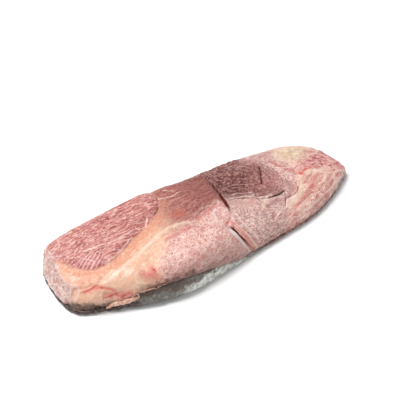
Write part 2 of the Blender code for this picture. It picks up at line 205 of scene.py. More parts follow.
# Their nets of cells: height, length and width in mm, and angle.
MARBLED_NET = (0.35, 8, 4.6, 40)
SPECKLED_NET = (0.3, 5.5, 4, 20)
SEAM_SHARE = 0.5  # how far a seam's slope reaches into its cell

# How far strokes and other forms stand up, or are sunk, in mm.
STROKE_RISE = {"veins": 0.3, "white": 0.7, "folds": -0.9, "cracks": -1.3, "slits": -2}
CREAM_RISE = 0.5  # on the band of fat alone
YELLOW_RISE = 0.4
CORNER_RISE = 1.6
FLAP_RISE = 1.4
RIM_RISE = 0.8
RIM_WIDTH = 1.8
SEAM_SUNK = 0.7
SEAM_WIDTH = 2.4
CUT_FACE_SUNK = 0.7
TOP_SUNK = 0.5  # keeps the crown's relief inside the solid's height
RELIEF_UPWARD = (-0.05, 0.3)  # how far up a point looks that has none of it, or all
WRINKLE_APART = 5.2  # from one wrinkle of the hollow to the next
WAVER_SHARE = 1.5  # how far the wrinkles waver, as a share of the waver's height
BREAK_SOFT = 0.35  # how softly they break off
LIP_WIDTH = 3
LIP_UPRIGHT = (0.9, 0.5)  # how far up or down a point looks that isn't torn, or all torn
DROP_UPWARD = (-0.2, 0.2)  # how far up a point looks that keeps its height, or doesn't

# Where forms start and where they are full, in mm.
END_FROM = (50, 74)  # along x, at the near edge
END_SLANT = 1.2  # and this much further on for each mm from that edge
END_SLANT_TO = 45  # mm from it, past which the end starts no further on
HOLLOW_TO = (108, 90)  # along x
SEAM_FROM = (-172, -160)  # along x
RIM_TO = (40, 20)  # along y
LIP_FROM = (-176, -165)  # along x
TOP = (40, 43)  # height
LIP_HEIGHT = 6
CROWN_ABOVE_LIP = 26

# The split: the solid's cut gets a shelf in its left wall, and its far part is cut deeper.
EDGE_CUT = 2.2  # most that the solid's cut takes from the lip
SHOULDER_CUT = 5  # how much more it takes at the crown
SHELF_CUT = 3  # most that the new wall takes from the lip
SHELF_DEPTH = 1.2
SHELF_SLOPE = 7  # how wide it slopes down to its brink
WALL_SLOPE = 0.6  # how far the wall below the brink slopes, to either side
BRINK = ((-58, -38), (-2.9, -1.1))  # y, and how far from the split's middle the shelf ends
NEAR_PART = (-30, -38)  # along y
FAR_CUT = 2.5  # how much deeper the split is beyond its near part
FAR_GAP = (0.1, 0.9)  # that cut's middle beside the split's, and its width
CHANGED = ((-10, -7), (3, 2))  # how far left and right of the split its walls move
CALM_UPWARD = (0.02, 0.2)  # how far up a calm normal looks for that


def smooth(low, high, value):
    """0 up to low and 1 from high on, with a soft slope between them."""
    t = np.clip((value - low) / (high - low), 0, 1)
    return t * t * (3 - 2 * t)


def hump(distance, width):
    """1 at no distance, and falling off over the width."""
    return np.exp(-((distance / width) ** 2))


def curve_through(points, steps=8):
    """Points on a Catmull-Rom curve through the given ones."""
    rows = np.array(points, float)
    rows = np.vstack([2 * rows[0] - rows[1], rows, 2 * rows[-1] - rows[-2]])
    line = []
    for a, b, c, d in zip(rows, rows[1:], rows[2:], rows[3:]):
        for t in np.arange(steps) / steps:
            bend = (2 * a - 5 * b + 4 * c - d) * t + (3 * b - a - 3 * c + d) * t**2
            line.append(0.5 * (2 * b + (c - a) * t + bend * t))
    return np.array(line + [rows[-2]])


def near_line(points, x, y):
    """Distance in mm to a curve in plan, negative on its right-hand side."""
    line = curve_through(points)
    best = np.full(x.shape, 1e9)
    side = np.ones(x.shape)
    for a, b in zip(line, line[1:]):
        run = b - a
        t = np.clip(((x - a[0]) * run[0] + (y - a[1]) * run[1]) / (run @ run), 0, 1)
        away = np.hypot(x - a[0] - t * run[0], y - a[1] - t * run[1])
        left = run[0] * (y - a[1]) - run[1] * (x - a[0]) >= 0
        side = np.where(away < best, np.where(left, 1, -1), side)
        best = np.minimum(best, away)
    return best * side


def strokes(rows, x, y):
    """Distance from the nearest stroke in its half widths: 0 on its middle, 1 on its edge."""
    return np.min([np.abs(near_line(line, x, y)) / half for line, half in rows], axis=0)


def oval(x, y, middle, reach):
    """Distance from the middle of an oval, 1 on its edge."""
    return np.hypot((x - middle[0]) / reach[0], (y - middle[1]) / reach[1])


def stretched(points, along, across, angle, shift=0.0):
    """Places for a pattern that runs long in plan, at an angle in degrees."""
    turn = math.radians(angle)
    x, y, z = points.T
    run = (x * math.cos(turn) + y * math.sin(turn)) / along
    side = (y * math.cos(turn) - x * math.sin(turn)) / across
    return np.stack([run + shift, side - shift, z / across], axis=1).tolist()


def grain(points, rows):
    """Smooth noise, summed over rows of height, length, width, angle and seed."""
    total = 0
    for height, *shape in rows:
        spots = stretched(points, *shape)
        total = total + height * np.array([noise.noise(spot) for spot in spots])
    return total


def cells(points, height, *shape):
    """Rounded cells that stand above the seams between them, as high in all as height."""
    near = np.array([noise.voronoi(spot)[0][:2] for spot in stretched(points, *shape)])
    return height * (np.clip((near[:, 1] - near[:, 0]) / SEAM_SHARE, 0, 1) - 0.5)


def pick(piece):
    """Selects a piece alone."""
    bpy.ops.object.select_all(action="DESELECT")
    piece.select_set(True)
    bpy.context.view_layer.objects.active = piece


def edit(piece, kind="FACE"):
    """Opens a piece in edit mode, alone and with nothing selected."""
    pick(piece)
    bpy.ops.object.mode_set(mode="EDIT")
    bpy.ops.mesh.select_mode(type=kind)
    bpy.ops.mesh.select_all(action="DESELECT")


def done():
    """Closes edit mode."""
    bpy.ops.object.mode_set(mode="OBJECT")


def copy_of_solid(node, name):
    """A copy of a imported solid's mesh as a new object, with its triangles joined."""
    piece = bpy.data.objects.new(name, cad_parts[node].data.copy())
    piece.data.name = name
    piece.data.materials.clear()
    bpy.context.scene.collection.objects.link(piece)
    edit(piece)
    bpy.ops.mesh.select_all(action="SELECT")
    bpy.ops.mesh.remove_doubles(threshold=WELD)
    bpy.ops.mesh.customdata_custom_splitnormals_clear()
    bpy.ops.mesh.tris_convert_to_quads(face_threshold=math.pi, shape_threshold=math.pi)
    done()
    return piece


def subdivide_all(piece):
    """Subdivides a piece once, all over, and applies that."""
    pick(piece)
    modifier = piece.modifiers.new("subdivision", "SUBSURF")
    modifier.levels = modifier.render_levels = 1
    bpy.ops.object.modifier_apply(modifier=modifier.name)


def choose(piece, kind, wanted):
    """Opens a piece in edit mode with the faces or vertices selected that are wanted."""
    edit(piece, kind)
    done()
    rows = piece.data.polygons if kind == "FACE" else piece.data.vertices
    rows.foreach_set("select", np.array(wanted, bool))
    bpy.ops.object.mode_set(mode="EDIT")


def cut_finer(piece, wanted, cuts):
    """Cuts the faces for which wanted(face) holds."""
    choose(piece, "FACE", [wanted(face) for face in piece.data.polygons])
    bpy.ops.mesh.subdivide(number_cuts=cuts, smoothness=0)
    done()


def smooth_out(piece, wanted, passes):
    """Smooths the points that are wanted."""
    choose(piece, "VERT", wanted)
    bpy.ops.mesh.vertices_smooth(factor=0.5, repeat=passes)
    done()


def vectors(piece, name="co"):
    """A mesh's points or normals as rows."""
    rows = np.empty(len(piece.data.vertices) * 3)
    piece.data.vertices.foreach_get(name, rows)
    return rows.reshape(-1, 3)


def move_to(piece, points):
    """Moves a mesh's points."""
    piece.data.vertices.foreach_set("co", points.ravel())
    piece.data.update()


def note(piece, name, values):
    """Keeps one number a vertex, for the material to read."""
    kept = piece.data.attributes.new(name, "FLOAT", "POINT")
    kept.data.foreach_set("value", np.asarray(values, np.float32))


def round_faces(piece, angle=60):
    """Shades a piece smooth, apart from edges that are sharper than an angle in degrees."""
    pick(piece)
    bpy.ops.object.shade_smooth_by_angle(angle=math.radians(angle))


def evened(piece, rows, passes):
    """Rows of vectors, one a vertex, averaged over and over with their neighbours'."""
    ends = np.empty(len(piece.data.edges) * 2, int)
    piece.data.edges.foreach_get("vertices", ends)
    a, b = ends.reshape(-1, 2).T
    count = np.bincount(np.concatenate([a, b]), minlength=len(rows))[:, None]
    for _ in range(passes):
        total = [np.bincount(a, rows[b, k], len(rows)) + np.bincount(b, rows[a, k], len(rows))
                 for k in range(3)]
        rows = 0.5 * rows + 0.5 * np.stack(total, axis=1) / count
    return rows / np.linalg.norm(rows, axis=1)[:, None]


lean = copy_of_solid("lean_meat", "lean")
subdivide_all(lean)
cut_finer(lean, lambda face: face.normal.z > CUT_UPWARD and face.area > LARGE_FACE, 2)
cut_finer(lean, lambda face: face.normal.z > CUT_UPWARD and face.area > MEDIUM_FACE, 1)
smooth_out(lean, vectors(lean, "normal")[:, 2] > SMOOTH_UPWARD, SETTLE)
x, y, z = vectors(lean).T / MM
smooth_out(lean, (oval(x, y, *NEAR_CORNER) < 1) & (z > ROUND_ABOVE), ROUND)

rest = vectors(lean) / MM
facing = vectors(lean, "normal")
x, y, z = rest.T
feather = near_line(FEATHER_SEAM, x, y)
band = near_line(BAND_SEAM, x, y)
rim = near_line(CUT_RIM, x, y)
edge = near_line(NEAR_EDGE, x, y)
crease = near_line(HOLLOW_CREASE, x, y)
split = curve_through(SPLIT_LINE)
aside = x - np.interp(y, split[:, 1], split[:, 0])
split_y, *split_rows = np.array(SPLIT_DEPTH).T
cut_depth, wall, opened = [np.interp(y, split_y, row) for row in split_rows]
mark = {name: strokes(rows, x, y) for name, rows in STROKES.items()}
patch = {name: oval(x, y, *place) for name, place in OVALS.items()}

# How much each point belongs to each form. The numbers beside a line's name are where the
# form starts and is full, in mm from that line.
left = smooth(1, -2, aside)
right = 1 - left
to_end = smooth(*END_FROM, x - END_SLANT * np.minimum(edge, END_SLANT_TO)) * right
in_feather = smooth(-1, 4, feather) * left
in_fat = smooth(1, -3, feather) * smooth(-5, 3, band) * left
in_marbled = smooth(2, -4, band) * smooth(1, -2, feather) * left
in_hollow = smooth(-4, 6, crease) * smooth(*HOLLOW_TO, x) * right
in_speckled = right * (1 - to_end) * (1 - in_hollow)
in_cut_face = smooth(2, -2, rim)
in_yellow = smooth(1.15, 0.7, patch["yellow"])

wavering = crease + WAVER_SHARE * grain(rest, WAVER)
wrinkle = np.cos(2 * math.pi * wavering / WRINKLE_APART)
wrinkle *= smooth(-BREAK_SOFT, BREAK_SOFT, grain(rest, WRINKLE_BREAKS)) * in_hollow

# How far each point moves out along its normal, in mm.
push = in_feather * grain(rest, FEATHER_GRAIN)
push += in_fat * grain(rest, FAT_GRAIN)
push += in_marbled * (grain(rest, MARBLED_GRAIN) + cells(rest, *MARBLED_NET))
push += in_speckled * (grain(rest, SPECKLED_GRAIN) + cells(rest, *SPECKLED_NET))
push += to_end * grain(rest, END_GRAIN)
push += grain(rest, WHOLE_GRAIN)
push += wrinkle
push += in_yellow * (grain(rest, YELLOW_GRAIN) + YELLOW_RISE)
for name, stroke_rise in STROKE_RISE.items():
    push += stroke_rise * hump(mark[name], 1)
push += CREAM_RISE * hump(mark["cream"], 1) * in_fat
push -= SEAM_SUNK * hump(feather, SEAM_WIDTH) * left * smooth(*SEAM_FROM, x)
push += RIM_RISE * hump(rim + 1, RIM_WIDTH) * smooth(*RIM_TO, y)
push += CORNER_RISE * hump(oval(x, y, *CORNER_MOUND), 1)
push += FLAP_RISE * hump(oval(x, y, *FLAP_MOUND), 1)
push *= smooth(*RELIEF_UPWARD, facing[:, 2])
push += in_cut_face * (grain(rest, CUT_GRAIN) - CUT_FACE_SUNK)

# How far the split's walls move, along normals that pass over it.
calm = evened(lean, facing.copy(), CALM)
up = np.clip((z - LIP_HEIGHT) / CROWN_ABOVE_LIP, 0, 1)
cut = cut_depth * np.clip(1 - np.abs(aside) / wall, 0, 1)
cut = np.minimum(cut, EDGE_CUT + SHOULDER_CUT * up)
past_brink = aside - np.interp(y, *BRINK)
shelf = SHELF_DEPTH * smooth(-SHELF_SLOPE, 0, past_brink)
shelf = shelf + (cut_depth - SHELF_DEPTH) * smooth(-WALL_SLOPE, WALL_SLOPE, past_brink)
near_part = smooth(*NEAR_PART, y)
shelf = np.minimum(shelf, SHELF_CUT + SHOULDER_CUT * up)
gap_middle, gap_width = FAR_GAP
left_reach, right_reach = CHANGED
lift = np.where(aside < 0, (cut - shelf) * near_part, 0)
lift -= FAR_CUT * opened * hump(aside - gap_middle, gap_width) * (1 - near_part)
lift *= smooth(*left_reach, aside) * smooth(*right_reach, aside)
lift *= smooth(*CALM_UPWARD, calm[:, 2])

# The near edge's lip is torn: it sticks out and lies higher or lower, unevenly.
ragged = hump(edge, LIP_WIDTH) * smooth(*LIP_FROM, x)
ragged *= smooth(*LIP_UPRIGHT, np.abs(facing[:, 2]))
outward = grain(rest, LIP_GRAIN) * ragged
drop = grain(rest, LIP_DROP) * ragged * smooth(*DROP_UPWARD, facing[:, 2])

moved = rest + facing * push[:, None] + calm * lift[:, None] + calm * outward[:, None]
moved[:, 2] = np.maximum(moved[:, 2] + drop - TOP_SUNK * smooth(*TOP, z), 0)
move_to(lean, moved * MM)
round_faces(lean)

lines = {"feather": feather, "band": band, "rim": rim, "edge": edge, "crease": crease,
         "aside": aside, "opened": opened, "to_end": to_end, "wrinkle": wrinkle}
for name, values in {**lines, **mark, **patch}.items():
    note(lean, name, values)


class Finish:
    """One procedural material, put together node by node. Lengths are in mm."""

    def __init__(self, name):
        self.made = bpy.data.materials.new(name)
        self.made.use_nodes = True
        self.tree = self.made.node_tree
        self.shader = self.tree.nodes["Principled BSDF"]
        metres = self.node("TexCoord").outputs["Object"]
        self.place = self.vector("MULTIPLY", metres, (1000, 1000, 1000))

    def node(self, kind, **settings):
        made = self.tree.nodes.new("ShaderNode" + kind)
        for name, value in settings.items():
            setattr(made, name, value)
        return made

    def put(self, socket, value):
        """Links a socket into another, or sets its value."""
        if isinstance(value, bpy.types.NodeSocket):
            self.tree.links.new(value, socket)
        else:
            socket.default_value = value

    def vector(self, operation, a, b):
        made = self.node("VectorMath", operation=operation)
        self.put(made.inputs[0], a)
        self.put(made.inputs[1], b)
        return made.outputs[0]

    def math(self, operation, a, b=0.0):
        made = self.node("Math", operation=operation)
        self.put(made.inputs[0], a)
        self.put(made.inputs[1], b)
        return made.outputs[0]

    def add(self, a, b, share=1.0):
        """a, and a share of b."""
        return self.math("ADD", a, self.math("MULTIPLY", b, share))

    def both(self, a, b):
        """Where both hold: their product."""
        return self.math("MULTIPLY", a, b)

    def number(self, name):
        """A number that the mesh keeps for each vertex."""
        return self.node("Attribute", attribute_name=name).outputs["Fac"]

    def apart(self, place):
        """The x, y and z of a place."""
        made = self.node("SeparateXYZ")
        self.put(made.inputs[0], place)
        return made.outputs

    def spot(self, along, across):
        """A place made of two numbers."""
        made = self.node("CombineXYZ")
        self.put(made.inputs[0], along)
        self.put(made.inputs[1], across)
        return made.outputs[0]

    def rise(self, value, low, high, to=1.0):
        """0 up to low, and to from high on, with a soft slope between them."""
        made = self.node("MapRange", interpolation_type="SMOOTHSTEP")
        self.put(made.inputs["Value"], value)
        self.put(made.inputs["From Min"], low)
        self.put(made.inputs["From Max"], high)
        self.put(made.inputs["To Max"], to)
        return made.outputs["Result"]

    def paint(self, amount, under, over):
        """Lays the colour over on the colour under, as much as amount says."""
        made = self.node("Mix", data_type="RGBA")
        self.put(made.inputs[0], amount)
        self.put(made.inputs[6], under)
        self.put(made.inputs[7], over)
        return made.outputs[2]

    def layers(self, colour, *rows):
        """Lays colours over a colour, one after the other. A row is an amount and a colour."""
        for amount, over in rows:
            colour = self.paint(amount, colour, over)
        return colour

    def stretch(self, place, along, across, angle=0.0, shift=0.0):
        """Coordinates in which a pattern runs long at an angle in plan, in degrees."""
        turned = self.node("VectorRotate", rotation_type="Z_AXIS")
        self.put(turned.inputs["Vector"], place)
        self.put(turned.inputs["Angle"], -math.radians(angle))
        made = self.vector("MULTIPLY", turned.outputs[0], (1 / along, 1 / across, 1 / across))
        return self.vector("ADD", made, (shift, shift, shift)) if shift else made

    def noise(self, place, detail=2.0, rough=0.5, out="Fac"):
        """Noise of mostly 0.3 to 0.7, in forms about one unit of place in size."""
        made = self.node("TexNoise")
        self.put(made.inputs["Vector"], place)
        self.put(made.inputs["Scale"], 1.0)
        self.put(made.inputs["Detail"], detail)
        self.put(made.inputs["Roughness"], rough)
        return made.outputs[out]

    def web(self, place):
        """Distance from the seams between cells, 0 on a seam."""
        made = self.node("TexVoronoi", feature="DISTANCE_TO_EDGE")
        self.put(made.inputs["Vector"], place)
        self.put(made.inputs["Scale"], 1.0)
        return made.outputs["Distance"]

    def ridges(self, place, width, to=1.0):
        """Thin wandering lines: where a noise crosses its middle value."""
        away = self.math("SUBTRACT", self.noise(place), 0.5)
        return self.rise(self.math("ABSOLUTE", away), width, width * 0.2, to)

    def wander(self, place, size, reach):
        """Coordinates that stray from place by up to about reach, over lengths of size."""
        stray = self.noise(self.stretch(place, size, size), 2.0, 0.5, "Color")
        stray = self.vector("SUBTRACT", stray, (0.5, 0.5, 0.5))
        return self.vector("ADD", place, self.vector("MULTIPLY", stray, (2 * reach,) * 3))

    def coat(self, colour):
        """Gives the surface its colour."""
        self.put(self.shader.inputs["Base Color"], colour)

    def relief(self, height, distance, strength=1.0):
        """Bumps that are too fine for the mesh."""
        bump = self.node("Bump")
        self.put(bump.inputs["Height"], height)
        self.put(bump.inputs["Distance"], distance * MM)
        self.put(bump.inputs["Strength"], strength)
        self.put(self.shader.inputs["Normal"], bump.outputs[0])

    def wet(self, roughness, specular, soft, depth=1.2):
        """Sets the gloss of a moist surface, and how far light strays under it."""
        self.put(self.shader.inputs["Roughness"], roughness)
        self.put(self.shader.inputs["Specular IOR Level"], specular)
        self.put(self.shader.inputs["Subsurface Weight"], soft)
        self.put(self.shader.inputs["Subsurface Radius"], (1.0, 0.35, 0.25))
        self.put(self.shader.inputs["Subsurface Scale"], depth * MM)


SURFACE_SHARE = 0.735  # of a colour as seen: the surface itself is darker than it looks
GLOSS_SHARE = 0.02  # what gloss adds to each colour as seen


def seen(red, green, blue):
    """The surface colour that looks like this one, of 0 to 255, in the scene's light."""
    rows = [value / 255 for value in (red, green, blue)]
    rows = [v / 12.92 if v < 0.04045 else ((v + 0.055) / 1.055) ** 2.4 for v in rows]  # sRGB
    return tuple(max(0.0, value * SURFACE_SHARE - GLOSS_SHARE) for value in rows) + (1,)


# Where colours start and where they are full, in mm.
CREAM_FROM = (16, 32)  # from the feather seam
CREAM_LINES_FROM = (6, 26)
SKIN_FROM = (-62, -18)  # along x
# x over which the skin darkens towards the split: partly its own colour, partly painted shadow
SKIN_SHADOW_DARKENS = (-18, 20)
# x over which the hollow's floor darkens towards the split: partly its own colour, partly painted
# shadow
HOLLOW_SHADOW_DARKENS = (112, 40)  # along x
HOLLOW_FADES = (130, 96)
# from the near edge, where the marbled muscle greys: partly its own colour, partly painted shade
LIP_GREYS_AND_SHADE = (22, 3)  # from the near edge
# where the lip's edge is painted dark, from the near edge and along x: partly darkened meat, partly
# painted shade
LIP_SHADE = (3.0, 0.5)
LIP_SHADE_FROM = (-126, -108)  # along x
STRIP_EDGE = (12, 8)  # from the split
STRIP_FROM = (-28, -42)  # along y
SHELF_EDGE = (-8.6, -6.2)  # from the split
SHELF_FROM = (-34, -39)  # along y
# from the split's middle, where its gap is painted dark: partly dark red meat, partly painted shade
GAP_SHADE_EDGE = (2.1, 1.2)  # from the split's middle
FLAP_FOLDS_FROM = (-90, -110)  # along x
CORNER_ALONG = (-112, -146)  # the near corner of the cut end, along x and along y
CORNER_ACROSS = (-22, -34)
# above the floor, where the lean is painted dark, higher at the near corner: partly dried edges,
# partly painted shade
FOOT = (9, 1)  # above the floor

meat = Finish("lean meat")
strayed = meat.wander(meat.wander(meat.place, 22, 3.4), 6.0, 1.5)
at_x, at_y, _ = meat.apart(strayed)
fine = meat.noise(meat.stretch(meat.place, 1.5, 1.5), 2, 0.6)
grit = meat.noise(meat.stretch(meat.place, 3.4, 2.2, 30, 7.0), 2, 0.6)
mottle = meat.noise(meat.stretch(meat.place, 8, 6), 3, 0.6)
broad = meat.noise(meat.stretch(meat.place, 30, 22), 2, 0.5)
tear = meat.math("SUBTRACT", meat.noise(meat.stretch(meat.place, 6, 4, 15), 3, 0.65), 0.5)


def torn(name, by):
    """One of the mesh's numbers, roughened by noise, so that its edges come out torn."""
    return meat.add(meat.number(name), tear, 2 * by)


def fibres(place, angle, along, across, dark, middle, light, shift=0.0):
    """Long fibres: soft light and dark runs with finer ones over them."""
    run = meat.noise(meat.stretch(place, along, across, angle, shift), 3, 0.6)
    thread = meat.noise(meat.stretch(place, along / 3, across / 2.4, angle, shift + 4), 2, 0.6)
    return meat.layers(
        meat.paint(meat.rise(run, 0.36, 0.50), dark, middle),
        (meat.rise(thread, 0.47, 0.34, 0.55), dark),
        (meat.rise(thread, 0.51, 0.66, 0.6), light),
        (meat.rise(run, 0.53, 0.66, 0.85), light))


def lines_at(turns, along, across, width, light):
    """Layers of thin pale lines, one for each angle and shift."""
    return [(meat.ridges(meat.stretch(strayed, along, across, angle, shift), width, 0.95), light)
            for angle, shift in turns]


# The marbled muscle: lean in a broken net of thin pale lines, plainest beside the split, and greyer
# towards the near lip, partly with painted shade.
net = meat.web(meat.stretch(strayed, 8.0, 5.0, 43))
small_net = meat.web(meat.stretch(strayed, 5.0, 3.4, 24, 5.0))
patchy = meat.rise(mottle, 0.40, 0.60)
gaps = meat.rise(meat.noise(meat.stretch(meat.place, 12, 9, 0, 3.0), 2, 0.5), 0.38, 0.56)
near_loops = meat.rise(torn("loops", 0.3), 1.3, 0.5)
whiter = meat.both(meat.add(0.8, near_loops, 0.2), gaps)
marbled = meat.layers(
    meat.paint(meat.rise(grit, 0.34, 0.60), seen(193, 128, 124), seen(229, 175, 167)),
    (meat.rise(fine, 0.50, 0.68, 0.55), seen(240, 194, 184)),
    (meat.rise(broad, 0.50, 0.66, 0.4), seen(230, 174, 158)),
    (meat.both(meat.rise(small_net, 0.08, 0.02, 0.5), patchy), seen(248, 210, 200)),
    *lines_at(((22, 3.0), (-35, 6.0), (75, 1.0)), 16, 8, 0.015, seen(250, 214, 204)),
    (meat.both(meat.rise(net, 0.06, 0.02), whiter), seen(254, 226, 216)),
    # greyer towards the near lip: partly the meat's own colour, partly painted shade
    (meat.rise(torn("edge", 4), *LIP_GREYS_AND_SHADE, 0.4), seen(176, 132, 122)))

# The feather muscle: long fine fibres, with short pale stripes at its near end.
across_stripes = meat.apart(meat.stretch(strayed, 3.9, 3.9, 32))[1]
wave = meat.math("SINE", meat.math("MULTIPLY", across_stripes, 2 * math.pi))
striped = meat.layers(
    meat.paint(meat.rise(wave, -0.1, 0.9, 0.85), seen(184, 100, 104), seen(250, 208, 201)),
    (meat.rise(grit, 0.5, 0.65, 0.5), seen(214, 146, 142)))
feathered = meat.layers(
    fibres(strayed, 4, 17, 2.1, seen(150, 76, 75), seen(194, 122, 116), seen(234, 176, 167)),
    (meat.ridges(meat.stretch(strayed, 20, 5.0, 4, 9.0), 0.03, 0.8), seen(247, 205, 194)),
    (meat.rise(torn("stripes", 0.45), 1.0, 0.5, 0.8), striped))

# The band of fat: orange beside the feather muscle, cream beyond it, and a grey-brown skin
# over its far end, darker towards the split: partly its own colour, partly painted shadow.
to_cream = meat.add(meat.math("MULTIPLY", broad, 22.0), meat.number("feather"), -1.0)
cream_lines = meat.ridges(meat.stretch(strayed, 24, 5, 20, 2.0), 0.03, 0.7)
far_end = meat.add(at_x, broad, 30)
hide = meat.layers(
    fibres(strayed, 12, 14, 3.0, seen(132, 74, 72), seen(170, 110, 103), seen(206, 148, 138), 6.0),
    # darker towards the split: partly the skin's own colour, partly painted shadow
    (meat.rise(far_end, *SKIN_SHADOW_DARKENS, 0.5), seen(130, 76, 72)),
    (meat.rise(fine, 0.50, 0.68, 0.5), seen(216, 160, 146)))
fat = meat.layers(
    meat.paint(meat.rise(to_cream, *CREAM_FROM), seen(225, 158, 130), seen(238, 190, 163)),
    (meat.rise(grit, 0.48, 0.66, 0.35), seen(248, 212, 187)),
    (meat.rise(fine, 0.48, 0.34, 0.3), seen(232, 170, 146)),
    (meat.rise(mottle, 0.44, 0.28, 0.5), seen(232, 164, 142)),
    (meat.both(cream_lines, meat.rise(to_cream, *CREAM_LINES_FROM)), seen(253, 226, 204)),
    (meat.rise(far_end, *SKIN_FROM), hide))

# The fine-grained muscle right of the split, rosier beside the hollow.
fine_net = meat.web(meat.stretch(strayed, 5.4, 3.8, 30, 2.0))
rosy = fibres(strayed, 20, 9, 3.4, seen(196, 142, 136), seen(222, 178, 168),
              seen(242, 206, 196), 3.0)
speckled = meat.layers(
    meat.paint(meat.rise(grit, 0.34, 0.62), seen(164, 118, 114), seen(210, 166, 159)),
    (meat.rise(fine, 0.50, 0.68, 0.6), seen(228, 190, 182)),
    (meat.rise(broad, 0.50, 0.66, 0.45), seen(204, 144, 138)),
    (meat.both(meat.rise(fine_net, 0.09, 0.02, 0.6), patchy), seen(240, 210, 202)),
    *lines_at(((52, 1.0), (5, 8.0), (-40, 4.0)), 13, 7, 0.017, seen(246, 218, 210)),
    (meat.rise(torn("pink", 0.4), 1.1, 0.5, 0.85), rosy))

# The pointed end: strands that follow its near edge, and a redder muscle at its far side.
along_edge = meat.spot(at_x, meat.add(meat.number("edge"), tear, 5))
ruddy = meat.layers(
    fibres(strayed, -24, 13, 3.0, seen(186, 90, 93), seen(214, 134, 131), seen(248, 200, 190), 2.0),
    (meat.ridges(meat.stretch(strayed, 13, 5, -30, 3.0), 0.035, 0.85), seen(250, 214, 203)))
pointed = meat.layers(
    fibres(along_edge, 2, 17, 3.0, seen(196, 116, 110), seen(226, 162, 152), seen(246, 204, 192)),
    (meat.ridges(meat.stretch(along_edge, 16, 5, 4, 9.0), 0.04), seen(250, 218, 203)),
    (meat.ridges(meat.stretch(along_edge, 9, 4, -12, 2.0), 0.03, 0.8), seen(250, 214, 202)),
    (meat.rise(torn("red", 0.25), 1.1, 0.8), ruddy))

# The hollow's wrinkled floor, darkest beside the split: partly its own colour, partly painted
# shadow.
floor_of_hollow = meat.layers(
    # darker towards the split: partly the floor's own colour, partly painted shadow
    meat.paint(meat.rise(at_x, *HOLLOW_SHADOW_DARKENS), seen(170, 114, 111), seen(110, 68, 67)),
    (meat.rise(grit, 0.46, 0.62, 0.5), seen(178, 124, 118)),
    (meat.rise(fine, 0.54, 0.70, 0.5), seen(212, 166, 157)),
    # the wrinkles' troughs painted darker and their crests lighter: painted shade and painted light
    # on the relief
    (meat.rise(torn("wrinkle", 0.6), -0.1, -0.9, 0.85), seen(108, 62, 62)),
    (meat.rise(torn("wrinkle", 0.7), 0.4, 1.1, 0.6), seen(214, 164, 155)),
    (meat.ridges(meat.stretch(strayed, 14, 5, -8, 5.0), 0.035, 0.55), seen(222, 172, 163)))

# The strip that stands along the split, with streaks along it.
along_split = meat.spot(at_y, meat.add(meat.number("aside"), tear, 2))
strip = fibres(along_split, 0, 9, 1.6, seen(184, 104, 96), seen(226, 160, 147),
               seen(253, 224, 209))

# The cut end: lilac pink and mottled.
blotch = meat.noise(meat.stretch(meat.place, 8, 6, 60), 3, 0.6)
cut_face = meat.layers(
    meat.paint(meat.rise(blotch, 0.38, 0.60), seen(198, 149, 143), seen(216, 180, 170)),
    (meat.rise(fine, 0.50, 0.66, 0.45), seen(236, 208, 199)),
    (meat.ridges(meat.stretch(strayed, 9, 6, 70, 5.0), 0.05, 0.8), seen(250, 230, 220)),
    (meat.rise(grit, 0.46, 0.34, 0.35), seen(184, 128, 126)))

# Yellow fat at the pointed end's far corner.
tallow = meat.layers(
    meat.paint(meat.rise(mottle, 0.38, 0.60), seen(222, 188, 160), seen(244, 220, 193)),
    (meat.rise(broad, 0.50, 0.66, 0.55), seen(228, 208, 164)),
    (meat.rise(grit, 0.52, 0.66, 0.6), seen(254, 242, 224)))

# All of them together: the muscles left of the split, then those beyond it.
from_split = meat.number("aside")
on_band = meat.rise(torn("band", 11), -8, 8)
off_feather = meat.rise(torn("feather", 4), 2.5, -2.5)
hollow = meat.both(meat.rise(torn("crease", 9), -5, 11), meat.rise(at_x, *HOLLOW_FADES))
on_strip = meat.both(meat.rise(from_split, *STRIP_EDGE), meat.rise(at_y, *STRIP_FROM))
muscles = meat.paint(off_feather, feathered, meat.paint(on_band, marbled, fat))
beyond = meat.layers(
    meat.paint(meat.rise(torn("to_end", 0.5), 0.2, 0.8), speckled, pointed),
    (hollow, floor_of_hollow),
    (meat.rise(torn("yellow", 0.6), 1.3, 0.5), tallow),
    (on_strip, strip))

# Fine specks over all but the cut end, fainter on the fat.
on_fat = meat.both(meat.both(on_band, off_feather), meat.rise(from_split, 0.6, -0.6))
off_fat = meat.math("SUBTRACT", 1.0, meat.both(on_fat, 0.7))
off_fat = meat.both(off_fat, meat.rise(meat.number("rim"), -2, 2))
speck = meat.noise(meat.stretch(meat.place, 2.6, 2.0, 25, 4.0), 2, 0.6)

# The strokes, the pale shelf inside the split, and the split's gap, the lip and the foot
# painted dark: partly darker meat, partly painted shade.
flap_folds = meat.both(meat.rise(torn("folds", 0.9), 1.3, 0.1, 0.65),
                       meat.rise(at_x, *FLAP_FOLDS_FROM))
bloody = torn("blood", 1.4)
on_shelf = meat.both(meat.rise(torn("aside", 2.4), *SHELF_EDGE), meat.rise(at_y, *SHELF_FROM))
on_shelf = meat.both(on_shelf, meat.rise(from_split, 0, -1))
from_middle = meat.math("ABSOLUTE", meat.add(torn("aside", 0.6), -0.2))
shade_in_gap = meat.both(meat.rise(from_middle, *GAP_SHADE_EDGE), meat.rise(meat.number("opened"), 0.15, 0.6))
shade_at_lip = meat.both(meat.rise(torn("edge", 2.5), *LIP_SHADE), meat.rise(at_x, *LIP_SHADE_FROM))
at_corner = meat.both(meat.rise(at_x, *CORNER_ALONG), meat.rise(at_y, *CORNER_ACROSS))
above_foot = meat.add(meat.add(meat.apart(meat.place)[2], tear, 12), at_corner, -10)
shaded_foot = meat.paint(meat.rise(grit, 0.42, 0.60), seen(62, 50, 46), seen(128, 98, 88))
